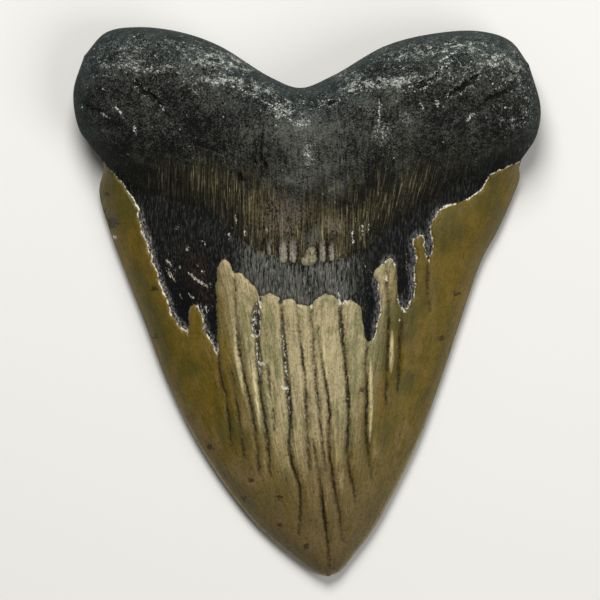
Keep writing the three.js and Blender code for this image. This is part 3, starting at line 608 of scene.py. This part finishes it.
# The upper face with its enamel, band, pits and lumps, and the plainer under face
def skinHeight(x, y, away, edge, onRim, isUnder):
    ledge = tooth["enamelThickness"] * smoothStep(edge.inEnamel, -0.1, 0.55)
    fades = smoothStep(y - archY(x, "bareArch"), tooth["bandFadesFrom"], tooth["bandFadesTo"])
    band = tooth["bandThickness"] * (1 - fades) * smoothStep(edge.inBand, -0.3, 0.9)
    inner = smoothStep(away, 0, 5)
    bare = smoothStep(-edge.inEnamel, 0, 0.6) * smoothStep(-edge.inBand, 0, 0.6)
    relief = sum(share * hillsOf(x, y, name) for share, name in (
        (smoothStep(edge.overBand, -2, 4), "lumpHills"), (smoothStep(edge.inEnamel, 0, 2), "waveHills"),
        (bare, "ridgeHills")))
    hollow = sum(deep * bell(np.hypot(x - cx, y - cy), 0.75 * r) for cx, cy, r, deep in tooth["pits"])
    coat = (ledge + band) * smoothStep(away, 0, 4)
    top = innerFace(x, y, away) + coat + (relief - hollow) * inner - hollow * (1 - inner) * 0.6
    groove = 0.5 * bell(edge.fromUnder, 0.7) * isUnder
    return np.where(onRim, rimHeight(y), np.where(isUnder, outerFace(x, y, away) + groove, top))


# Soft hills of one strength round each place of the rows
def softClouds(x, y, rows):
    return sum(strength * np.exp(-((x - cx) / spread[0]) ** 2 - ((y - cy) / spread[-1]) ** 2)
               for cx, cy, *spread, strength in rows)


# What the paint reads at each point: distances in millimetres and strengths
def paintFields(x, y, away, edge, isUnder):
    far = np.where(isUnder, tooth["underIsFar"], 0)
    fields = {"inEnamel": edge.inEnamel, "inBand": edge.inBand, "overBand": edge.overBand, "fromRim": away,
              "fromFinger": edge.fingers + far, "fromChip": edge.chips + far, "isUpper": 1.0 - isUnder}
    for name, key, reach, ends in (
            ("fromPaleRim", "paleRims", 5, 0.2), ("fromStreak", "whiteStreaks", 4, 0.4),
            ("fromPale", "paleMarks", 4, 0.3), ("fromSplinter", "splinters", 4, 0.6),
            ("fromCore", "paleCores", 4, 0.4), ("fromLitBank", "litBanks", 4, 0.8)):
        fields[name] = nearLines(x, y, strokes(tooth[key], ends=ends), reach) + far
    spots = [np.hypot(x - cx, y - cy) - r for cx, cy, r in tooth["darkSpots"]]
    fields["fromSpot"] = np.min(spots, axis=0) + far
    for name, key, under in (("tornAmount", "tornClouds", 0), ("redTone", "redClouds", 0),
                             ("ridgeHighlight", "ridgeHighlightClouds", 0), ("grainAmount", "grainClouds", 0.1)):
        fields[name] = np.where(isUnder, under, softClouds(x, y, tooth[key]))
    for name, key in (("sageTone", "sageClouds"), ("rootTone", "rootTones"), ("bandTone", "bandTones")):
        fields[name] = softClouds(x, y, tooth[key])
    return fields


def shapeTooth():
    place, faces, onRim, isUnder, flow = skin()
    x, y = place.T
    rim = [part for line in (lobesLine, leftLine, rightLine) for part in plain(line[::4])]
    away = nearLines(x, y, rim, 16)
    print("skin:", len(x), "points,", len(faces), "facets")
    edge = layerEdges(x, y, isUnder)
    points = np.column_stack([x, y, skinHeight(x, y, away, edge, onRim, isUnder)])
    low, high = points.min(axis=0), points.max(axis=0)
    points -= [(low[0] + high[0]) / 2, (low[1] + high[1]) / 2, low[2]]
    fields = paintFields(x, y, away, edge, isUnder)
    print("fields:", ", ".join(fields))
    mesh = bpy.data.meshes.new("tooth skin")
    mesh.from_pydata([tuple(p) for p in (points * mm).tolist()], [], faces)
    for name, values in fields.items():
        mesh.attributes.new(name, "FLOAT", "POINT").data.foreach_set("value", np.asarray(values, "f"))
    across, along = tooth["flowSize"]
    flow = np.column_stack([(flow[:, 0] - 0.5) * across, -flow[:, 1] * along, np.zeros(len(x))])
    stored = mesh.attributes.new("flow", "FLOAT_VECTOR", "POINT")
    stored.data.foreach_set("vector", flow.astype("f").ravel())
    mesh.validate()
    mesh.shade_smooth()
    return mesh


# Sinks a groove and a wide valley along lines, and stores how far each point is from the groove
def crackTree():
    tree = bpy.data.node_groups.new("sink the cracks", "GeometryNodeTree")
    tree.interface.new_socket("Skin", in_out="OUTPUT", socket_type="NodeSocketGeometry")
    kinds = {"Skin": "Geometry", "Crack lines": "Object", "Stored as": "String", "Stone": "Material"}
    for name in ("Skin", "Crack lines", "Depth", "Valley depth", "Valley reach", "Wander", "Wander size",
                 "Seed", "Stored as", "Stone"):
        tree.interface.new_socket(name, in_out="INPUT", socket_type="NodeSocket" + kinds.get(name, "Float"))
    board = Board(tree)
    given = board.make("NodeGroupInput")
    lines = board.make("GeometryNodeObjectInfo", {"transform_space": "ORIGINAL"},
                       {"Object": given.other("Crack lines")}, out="Geometry")
    # where each point is on the plan, moved a little so that the cracks wander
    spot = board.vector("MULTIPLY", board.make("GeometryNodeInputPosition"), (1, 1, 0))
    drift = board.make("ShaderNodeVectorMath", {"operation": "SCALE"},
                       {0: spot, "Scale": 1 / (mm * given.other("Wander size"))})
    jog = board.make("ShaderNodeTexNoise", {"noise_dimensions": "4D"},
                     {"Vector": drift, "W": given.other("Seed"), "Scale": 1.0, "Detail": 2.0}, out="Color")
    jog = board.vector("MULTIPLY", board.vector("SUBTRACT", jog, (0.5, 0.5, 0.5)), (1, 1, 0))
    jog = board.make("ShaderNodeVectorMath", {"operation": "SCALE"},
                     {0: jog, "Scale": given.other("Wander") * (4 * mm)})
    spot = board.vector("ADD", spot, jog)
    away = board.make("GeometryNodeProximity", {"target_element": "EDGES"},
                      {"Geometry": lines, "Sample Position": spot}, out="Distance") / mm
    nearest = board.make("GeometryNodeSampleNearest", {"domain": "POINT"},
                         {"Geometry": lines, "Sample Position": spot})
    width, upper = (board.make("GeometryNodeInputNamedAttribute", {"data_type": "FLOAT"}, {"Name": name})
                    for name in ("halfWidth", "isUpper"))
    half = board.make("GeometryNodeSampleIndex", {"data_type": "FLOAT", "domain": "POINT"},
                      {"Geometry": lines, "Value": width, "Index": nearest})
    cut = (away / half.atLeast(0.02)).fall(0.1, 1.25) * half.rise(0.0, 0.25)
    valley = (away / given.other("Valley reach")).fall(0.0, 1.0) * half.rise(0.0, 0.22)
    sunk = (cut * given.other("Depth") + valley * given.other("Valley depth")) * upper * (-mm)
    moved = board.make("GeometryNodeSetPosition", {}, {
        "Geometry": given, "Offset": board.make("ShaderNodeCombineXYZ", {}, {"Z": sunk})})
    stored = board.make("GeometryNodeStoreNamedAttribute", {"data_type": "FLOAT", "domain": "POINT"}, {
        "Geometry": moved, "Name": given.other("Stored as"),
        "Value": away - half + (1 - upper) * tooth["underIsFar"]})
    whole = board.make("GeometryNodeRealizeInstances", {}, {"Geometry": stored})
    stone = board.make("GeometryNodeSetMaterial", {}, {"Geometry": whole, "Material": given.other("Stone")})
    board.make("NodeGroupOutput", {}, {"Skin": stone})
    return tree


# Crack lines as loose edges with their half widths
def crackLines(name, rows, width):
    points, edges, widths = [], [], []
    for line, halves in strokes(rows, width):
        edges += [(len(points) + k, len(points) + k + 1) for k in range(len(line) - 1)]
        points += [(x * mm, y * mm, 0) for x, y in line]
        widths += list(halves)
    mesh = bpy.data.meshes.new(name)
    mesh.from_pydata(points, edges, [])
    mesh.attributes.new("halfWidth", "FLOAT", "POINT").data.foreach_set("value", np.array(widths, "f"))
    return intoScene(bpy.data.objects.new(name, mesh))


def sinkCracks(thing, tree, kind, stone, seed):
    lines = crackLines(kind + " crack lines", tooth[kind + "Cracks"], tooth[kind + "Width"])
    modifier = thing.modifiers.new("cracks", "NODES")
    modifier.node_group = tree
    values = {"Crack lines": lines, "Depth": tooth[kind + "Depth"], "Valley depth": tooth["valleyDepth"],
              "Valley reach": tooth["valleyReach"], "Wander": tooth[kind + "Wander"],
              "Wander size": tooth["wanderSize"], "Seed": float(seed), "Stored as": kind + "Gap",
              "Stone": stone}
    for item in tree.interface.items_tree:
        if item.in_out == "INPUT" and item.name in values:
            modifier[item.identifier] = values[item.name]
    return lines


paint = {name: colour(value) for name, value in tooth.items() if isinstance(value, str)}


# Colours laid over each other by shares
class Coat:
    def __init__(self, board, share, low, high):
        self.board, self.colour = board, board.blend(share, low, high)

    def add(self, share, name):
        self.colour = self.board.blend(share, self.colour, paint[name])


def rootPaint(board, at):
    tone = board.cloud(at.place, 7, 3, 0.6) - 0.5
    mottle = board.cloud(at.place, 1.5, 4, 0.7, 3) - 0.5
    grit = board.cloud(at.place, 0.44, 2, 0.7, 33) - 0.5
    fibre = board.cloud(at.upright, (0.5, 4, 1), 2, 0.6, 5) - 0.5
    upper = at.overBand.rise(6, 26)
    # towards the upper rim the root turns teal: partly the stone's own tint, partly a painted sheen
    pale = board.blend(upper * at.fromRim.fall(3, 15), paint["rootGrey"], paint["rootTealAndSheen"])
    fibrous = (1 - upper) * at.across.fall(18, 36)
    light = board.field("rootTone") * 0.36 + tone * 1.6 + mottle * 1.6 + grit * 2.8
    light = light + fibre * 1.9 * fibrous + 0.2
    coat = Coat(board, light.rise(-0.25, 1.25), paint["rootDark"], pale)
    brown = board.cloud(at.place, (5, 4, 4), 2, 0.5, 9).rise(0.42, 0.6)
    brown = brown * at.overBand.fall(1, 14) * at.across.fall(14, 42)
    coat.add(brown * 0.6 * (0.8 + grit * 2), "rootBrown")
    # painted sheen: a bluish tint along the root's rims
    coat.add(at.fromRim.fall(0.5, 5.5) * (0.75 + grit * 1.5) * 0.55, "rootRimSheen")

    # pale crust: crumbs, dust, curls and lone grains
    patch = board.cloud(at.place, (1.8, 1.3, 1.8), 3, 0.65, 12).rise(0.34, 0.66)
    amount = (board.field("grainAmount") * (0.2 + patch * 0.55)).atMost(0.55) + 0.08
    amount = amount + upper * (0.1 + patch * 0.16)
    shade = board.cloud(at.place, 1.2, 2, 0.6, 31).rise(0.3, 0.7) * 0.6 + 0.2
    crumbs = board.crumbs(at.place, tooth["grainSize"], amount, 21, 0.13)
    coat.add(crumbs * shade, "grain")
    coat.add(board.crumbs(at.place, 0.45, amount * 0.8 + 0.2, 25, 0.22) * 0.3, "grain")
    curls = board.threads(at.place, 3.0, 2.2, 0.016, 41)
    curls = curls * board.cloud(at.place, 1.5, 2, 0.6, 43).rise(0.5, 0.6)
    coat.add(curls * (amount * 1.1 - 0.05).atLeast(0), "grain")
    coat.add(board.specks(at.place, 0.8, 0.03 + amount * 0.05, 24, 0.22) * shade, "grain")
    near = (board.field("fromStreak") + at.wobble * 1.4).fall(-0.3, 0.5)
    coat.add(board.crumbs(at.place, 0.45, near * 0.88, 27, 0.18) * near, "grain")
    splitPaint(board, at, coat)
    return coat, mottle * 1.4 + grit * 2 + fibre * 0.7 + crumbs * 0.4, tooth["stoneGloss"]


# Pale sediment in the widest cracks
def corePaint(board, at, coat):
    core = board.field("fromCore") + at.wobble
    coat.add(core.fall(-0.1, 0.35) * 0.6, "crack")
    filling = core.fall(-0.5, 0.1)
    coat.add(board.crumbs(at.place, 0.7, filling * 0.7, 61, 0.15, 1.5) * filling * 0.85, "chipped")


# Broken cracks of the root, with pale lips high up
def splitPaint(board, at, coat):
    gap = board.field("rootGap") + at.wobble * 2.2
    split = board.cloud(at.place, 1.6, 3, 0.7, 91)
    coat.add(gap.fall(-0.15, 0.2) * split.rise(0.4, 0.5), "crack")
    lips = gap.fall(0.2, 1.0) * gap.rise(-0.1, 0.2) * at.overBand.rise(13, 18)
    coat.add(board.crumbs(at.place, 0.5, lips * 0.72, 93, 0.15) * lips, "grain")


def bandPaint(board, at):
    lean = (at.heightY - 18) * at.sideways.rise(4, 34) * -0.24
    upright = board.vector("ADD", at.upright, board.make("ShaderNodeCombineXYZ", {}, {"X": lean}))
    lines = board.threads(upright, 0.75, 26, 0.026, 7)
    more = board.threads(upright, 0.62, 20, 0.026, 19)
    fine = board.cloud(upright, (0.4, 7, 1), 2, 0.6, 77) - 0.5
    broad = board.cloud(upright, (3.2, 9, 1), 2, 0.5, 17) - 0.5
    grit = board.cloud(at.place, (0.55, 0.8, 0.55), 2, 0.7, 37) - 0.5
    tone = board.field("bandTone")
    centre = at.across.fall(5, 22)
    middle = tone.rise(0.2, 0.6) * at.across.fall(10, 18)
    edge = at.inBand.fall(0, 8) * at.across.rise(7, 20)
    light = broad + grit * (2.0 + middle * 1.6) + fine * (2.6 - middle * 0.6)
    light = light + centre * 0.26 + tone * 0.45 + 0.16 - edge * 0.5
    olive = board.blend(middle, paint["bandOlive"], paint["bandMiddle"])
    gold = board.blend(centre, paint["bandGold"], olive)
    coat = Coat(board, light.rise(-0.1, 1.1), paint["bandDark"], gold)
    strength = (broad + 0.5).rise(0.36, 0.6) * 0.4 + 0.26 + tone * 0.12
    strength = strength * (1 - edge * 0.75) * (1 - middle * 0.5) * at.across.fall(34, 48) * (grit * 2 + 1)
    coat.add((lines + more * 0.8) * strength * 1.15, "bandPale")

    # the grey hollow, the pale fingers and the chip over the middle of the bare strip
    hollow = (board.field("sageTone") + at.wobble * 3).rise(0.25, 0.9)
    coat.add(hollow * (0.6 + grit * 2.4 + fine * 2), "dentineGrey")
    for name, top, low, high, rough in (("fromFinger", "bandFinger", 13.6, 17.2, 1.7),
                                        ("fromChip", "bandChip", 20, 30, 2.8)):
        gap = board.field(name) + at.wobble * 1.3
        fade = at.heightY.fall(low, high)
        coat.add(gap.fall(0.15, 0.5) * 0.6 * fade, "bandDark")
        coat.add(gap.fall(-0.35, 0.1) * (0.64 + grit * rough + fine * 1.4) * fade, top)
    lip = at.inBand.fall(0.0, 0.5) * board.cloud(upright, (1.0, 6, 1), 1, 0.5, 27).rise(0.4, 0.6)
    coat.add(lip * centre * 0.4, "bandPale")
    splitPaint(board, at, coat)
    return coat, lines * 0.8 + more * 0.5 + fine * 1.4 + grit, tooth["stoneGloss"]


def dentinePaint(board, at):
    lines = board.threads(at.upright, 0.8, 10, 0.03, 8)
    streaks = board.cloud(at.upright, (0.42, 5, 1), 3, 0.7, 48) - 0.5
    broad = board.cloud(at.upright, (4, 16, 1), 2, 0.5, 18) - 0.5
    grit = board.cloud(at.place, (0.42, 1.2, 0.42), 3, 0.7, 58) - 0.5
    centre = abs(at.sideways + 2.5).fall(11, 19)
    light = broad * 0.6 + streaks * (1.0 + centre * 3.8) + grit * 2.8 + centre * 0.73 - 0.21
    light = light - at.inBand.rise(-1.6, 0) * 0.3
    coat = Coat(board, light.rise(-0.1, 1.0), paint["dentineDark"], paint["dentineGrey"])
    dashes = board.cloud(at.upright, (0.4, 2.2, 1), 2, 0.6, 83).rise(0.52, 0.68)
    dashes = (lines * 0.8).atLeast(dashes) * (0.1 + centre * 0.4)
    coat.add(dashes * at.heightY.rise(2, 16).atLeast(centre), "dentineStreak")
    coat.add((board.field("redTone") * (0.3 + grit * 5)).rise(0.0, 1.0), "dentineRed")

    # torn flecks run down to the right over the broken wedge
    slant = board.make("ShaderNodeVectorRotate", {"rotation_type": "Z_AXIS"},
                       {"Vector": at.place, "Angle": -0.6})
    splinter = (board.field("fromSplinter") + at.wobble * 1.4).fall(-0.2, 0.3)
    torn = board.field("tornAmount") * (0.6 + grit)
    coat.add(board.crumbs(slant, 0.5, torn * 0.6 + 0.26 - centre * 0.16, 89, 0.24, 1.6) * 0.55, "ledge")
    flecks = board.crumbs(slant, 0.4, torn * 0.85 + splinter * 0.62, 88, 0.2, 3)
    coat.add(flecks * (0.5 + splinter * 0.25 + streaks * 3), "chipped")

    # grey crumbled ledge beside the enamel
    near = board.field("fromPaleRim").fall(0.3, 1.6) * at.inEnamel.rise(-2.3, -1.0) * at.heightY.fall(22, 27)
    coat.add(near * (0.3 + grit * 4), "ledge")
    near = near * (at.sideways.fall(-22, 0) * 0.34 + 0.3)
    coat.add(board.crumbs(slant, 0.5, near, 38, 0.18, 1.6) * 0.7, "chipped")
    # painted shade: the dentine darkens in the groove at the foot of the enamel's edge
    coat.add(at.inEnamel.rise(-1.0, -0.1) * centre * 0.6, "dentineDark")
    corePaint(board, at, coat)
    return coat, lines * 0.5 + streaks * 1.2 + grit, tooth["stoneGloss"]


def enamelPaint(board, at):
    grain = board.cloud(at.flow, (0.6, 7, 1), 4, 0.7, 6) - 0.5
    broad = board.cloud(at.flow, (5, 26, 1), 2, 0.5, 16) - 0.5
    finger = board.cloud(at.flow, (2.2, 6, 1), 3, 0.65, 66) - 0.5
    blotch = board.cloud(at.place, (3.0, 4.0, 3.0), 4, 0.62, 26) - 0.5
    patch = board.cloud(at.place, (9, 13, 9), 2, 0.5, 76) - 0.5
    grit = board.cloud(at.place, (0.5, 0.7, 0.5), 2, 0.7, 36) - 0.5
    hair = board.threads(at.flow, 2.0, 22, 0.02, 56)
    sage = board.field("sageTone")
    flank = at.across.rise(22, 40)
    centre = (at.across - at.heightY * 0.22).fall(13, 28) * at.heightY.rise(-62, -14)

    # gold and olive flanks, cream and sage fingers, a tan and brown tip
    ochre = (blotch * 2.2 + patch + 0.5).rise(0.15, 0.85)
    gold = board.blend(ochre, paint["enamelGold"], paint["enamelOchre"])
    olive = (blotch * 1.6 - patch * 2.4 + finger * 0.8 + sage * 0.8).rise(0.0, 0.5) * 0.8
    gold = board.blend(olive, gold, paint["enamelOlive"])
    green = (finger * 2.6 + blotch * 2.4 + sage * 0.6 + 0.34).rise(0.1, 0.9) * 0.95
    cream = board.blend(green, paint["enamelBeige"], paint["enamelSage"])
    creamy = centre * (broad * 0.7 + grain * 0.8 + blotch * 0.4 + 1.15) - 0.02
    # gold and olive flanks, cream and sage fingers, a tan and brown tip, with a painted sheen on the rim and
    # painted highlights on banks, ridges and the tip's edges
    coat = Coat(board, creamy.rise(0.0, 1.0), gold, cream)
    tan = at.heightY.fall(-62, -26) * 0.6
    tan = tan + at.heightY.fall(-30, 4) * (patch * 3 + blotch * 2).rise(0.0, 0.5) * 0.4
    coat.add(tan * (1 - centre * 0.7), "enamelTan")
    # painted sheen: a greyish rim along the enamel's edges
    coat.add(at.fromRim.fall(0.2, 2.4) * 0.35, "enamelRimSheen")
    # painted highlights on the crack banks that face the light
    coat.add(board.field("fromLitBank").fall(-0.6, 0.3) * (0.7 + grain * 1.5), "paleGrainAndHighlight")
    # painted highlights on those ridges
    paintedRidgeHighlight = board.field("ridgeHighlight") * (0.75 + grain * 2.2 + blotch * 1.6)
    coat.add(paintedRidgeHighlight.rise(0.0, 1.4) * 0.55, "litRidge")
    tip = at.heightY.fall(-66, -48)
    coat.add(tip * (blotch * 3 + grit * 1.4 + 0.4).rise(0.0, 1.0) * 0.42, "enamelBrown")
    # painted highlight: a pale line along both edges towards the tip
    coat.add(at.fromRim.fall(0.1, 0.9) * at.heightY.fall(-40, -20) * 0.3, "paleGrainAndHighlight")

    # grain, hairs, pores and olive dapples
    streaky = grain * (1 - flank * 0.75)
    coat.add((streaky * 3.2 + grit * 3.4 + blotch * 1.8).fall(-0.9, 0.2) * 0.48, "enamelBrown")
    coat.add((streaky * 2.4 + grit * 1.6 + blotch).rise(0.1, 0.9) * (0.06 + centre * 0.24), "paleGrainAndHighlight")
    coat.add(hair * 0.26 * (1 - flank * 0.6), "enamelBrown")
    pores = board.crumbs(at.place, 0.6, 0.32 + blotch * 0.9 + at.heightY.fall(-60, -36) * 0.14, 46, 0.07)
    coat.add(pores * 0.7, "enamelBrown")
    dapple = board.cloud(at.place, (1.1, 1.5, 1.1), 3, 0.7, 103).rise(0.5, 0.66)
    coat.add(dapple * (1 - centre) * at.heightY.fall(-48, -8) * 0.45, "enamelOlive")

    # cracks: black inside, brown on their banks, pale sediment in some
    gap = board.field("crownGap")
    depth = board.cloud(at.flow, (3, 7, 1), 2, 0.6, 71).rise(0.3, 0.6)
    coat.add((gap + at.wobble * 1.2).fall(-0.1, 0.8) * (0.25 + depth * 0.5), "enamelBrown")
    beads = board.cloud(at.flow, (0.8, 1.3, 1), 3, 0.7, 73)
    low = at.heightY.fall(-44, -28)
    inside = (gap + at.wobble * (1 + low * 1.2)).fall(-0.2, 0.14)
    coat.add(inside * (0.22 + depth * 0.4 + beads.rise(0.35, 0.58) * 0.36) * (1 - low * 0.45), "crack")
    glints = beads.rise(0.62, 0.7) * (gap + at.wobble).fall(-0.1, 0.5) * at.across.fall(16, 22)
    coat.add(glints * (1 - low * 0.7) * 0.5, "chipped")
    corePaint(board, at, coat)
    return coat, (streaky * 1.5 + grit * 0.8 - hair * 0.4) * 0.5, tooth["enamelGloss"] + inside * 0.3


# What lies over every layer: the chipped pale line along the enamel's edge, pale marks and dark spots
def overPaint(board, at):
    broken = board.cloud(at.place, 1.3, 3, 0.7, 51)
    near = board.field("fromPaleRim").fall(0.2, 1.3) * 0.85 + 0.1
    chip = (at.inEnamel + at.wobble * 1.1).rise(-0.25, -0.08)
    chip = chip * (at.inEnamel - broken * 0.7).fall(-0.4, -0.12)
    mark = (board.field("fromPale") + at.wobble * 1.3).fall(-0.15, 0.12) * broken.rise(0.3, 0.55) * 0.85
    spot = board.field("fromSpot") + (board.cloud(at.place, (1.7, 0.9, 1.7), 2, 0.6, 101) - 0.5) * 3
    return chip * near * broken.rise(0.4, 0.56), mark, (spot + at.wobble).fall(-0.3, 0.05) * 0.75


def stonePaint():
    stone, board = newMaterial("fossil")
    place = board.make("ShaderNodeTexCoord", out="Object")
    place = board.vector("MULTIPLY", place, (1 / mm, 1 / mm, 1 / mm))
    side = board.make("ShaderNodeSeparateXYZ", {}, {"Vector": place})
    edges = {name: board.field(name) for name in ("inEnamel", "inBand", "overBand", "fromRim")}
    at = SimpleNamespace(
        place=place, upright=board.vector("MULTIPLY", place, (1, 1, 0.02)),
        flow=board.field("flow", "Vector"), sideways=side, across=abs(side), heightY=side.other("Y"),
        wobble=board.cloud(place, 0.7, 2, 0.6, 2) - 0.5, **edges)
    chip, mark, spotted = overPaint(board, at)
    layers = []
    for layer, sheen, dark in ((rootPaint, "rootSheen", "crack"), (bandPaint, "rootSheen", "crack"),
                               (dentinePaint, "rootSheen", "crack"), (enamelPaint, "enamelSheen", "spot")):
        coat, height, roughness = layer(board, at)
        for share, top in ((chip, "chipped"), (mark, "chipped"), (spotted, dark)):
            coat.add(share, top)
        bump = board.make("ShaderNodeBump", {}, {
            "Strength": tooth["fineBump"], "Distance": tooth["bumpDepth"] * mm, "Height": height})
        layers.append(board.make("ShaderNodeBsdfPrincipled", {}, {
            "Base Color": coat.colour, "Roughness": roughness, "Normal": bump,
            "Specular IOR Level": tooth[sheen]}))

    # where one layer gives way to the next
    root, band, dentine, enamel = layers
    ragged = board.cloud(at.upright, (0.6, 5, 1), 3, 0.65, 97) - 0.5
    isBand = (at.overBand + at.wobble * 5 + ragged * 16).fall(-5.0, 4.0)
    isUpper = (at.inBand + at.wobble * 0.9 + ragged * at.across.rise(14, 30) * 14).rise(-0.2, 0.3)
    isEnamel = (at.inEnamel + at.wobble * 0.5).rise(-0.1, 0.1)
    for share, low, high in ((isBand, root, band), (isUpper, dentine, None), (isEnamel, None, enamel)):
        shader = board.make("ShaderNodeMixShader", {}, {0: share, 1: low or shader, 2: high or shader})
    board.make("ShaderNodeOutputMaterial", {}, {"Surface": shader})
    print("stone painted:", len(stone.node_tree.nodes), "nodes")
    return stone


def makeTooth():
    rough = intoScene(bpy.data.objects.new("rough tooth", shapeTooth()))
    stone = stonePaint()
    rough.data.materials.append(stone)
    tree = crackTree()
    lines = [sinkCracks(rough, tree, kind, stone, seed) for kind, seed in tooth["crackSeeds"].items()]
    evaluated = rough.evaluated_get(bpy.context.evaluated_depsgraph_get())
    final = bpy.data.meshes.new_from_object(evaluated)
    final.name = "toothLook"
    for thing in (rough, *lines):
        bpy.data.objects.remove(thing)
    print("cracks sunk:", len(tooth["crownCracks"]), "crown,", len(tooth["rootCracks"]), "root")
    piece = intoScene(bpy.data.objects.new("toothLook", final))
    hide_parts("tooth")
    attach(piece, "root")


ground = {"colour": "d2d0cb", "width": 3.0, "roughness": 0.8}


def floorPaint():
    matt, board = newMaterial("floor")
    shader = board.make("ShaderNodeBsdfPrincipled", {}, {
        "Base Color": colour(ground["colour"]), "Roughness": ground["roughness"]})
    board.make("ShaderNodeOutputMaterial", {}, {"Surface": shader})
    return matt


def makeFloor():
    half = ground["width"] / 2
    mesh = bpy.data.meshes.new("floor")
    corners = [(-half, -half, 0), (half, -half, 0), (half, half, 0), (-half, half, 0)]
    mesh.from_pydata(corners, [], [(0, 1, 2, 3)])
    mesh.materials.append(floorPaint())
    intoScene(bpy.data.objects.new("floor", mesh))
    print("floor laid")


# A soft sky and two round lamps that aim at the tooth: watts, width and place in metres
lights = {
    "skyColour": "ffffff", "skyStrength": 0.16,
    "key": (13.0, 0.55, (-0.1, 0.62, 0.85)), "fill": (5.2, 0.7, (0.65, -0.25, 0.8)),
}


def makeLights():
    world = bpy.data.worlds.new("soft sky")
    bpy.context.scene.world = world
    world.use_nodes = True
    board = Board(world.node_tree)
    sky = board.make("ShaderNodeBackground", {}, {
        "Color": colour(lights["skyColour"]), "Strength": lights["skyStrength"]})
    board.make("ShaderNodeOutputWorld", {}, {"Surface": sky})
    for name in ("key", "fill"):
        lamp = bpy.data.lights.new(name, "AREA")
        lamp.shape = "DISK"
        lamp.energy, lamp.size, spot = lights[name]
        light = intoScene(bpy.data.objects.new(name, lamp))
        light.location = spot
        light.rotation_euler = (-light.location).to_track_quat("-Z", "Y").to_euler()
    print("lights up")


# Straight above, from far away as the photo was taken: millimetres of lens and sensor, the rest in metres
view = {"lens": 600, "sensor": 36, "framed": 0.156, "above": (-0.00182, 0.00052, 0.010), "clip": (0.01, 10)}


def makeCamera():
    camera = intoScene(bpy.data.objects.new("camera", bpy.data.cameras.new("camera")))
    camera.data.lens, camera.data.sensor_width = view["lens"], view["sensor"]
    camera.data.clip_start, camera.data.clip_end = view["clip"]
    x, y, z = view["above"]
    camera.location = (x, y, z + view["framed"] * view["lens"] / view["sensor"])
    bpy.context.scene.camera = camera
    bpy.context.scene.view_settings.view_transform = "Standard"
    print("camera set")


makeTooth()
makeFloor()
makeLights()
makeCamera()
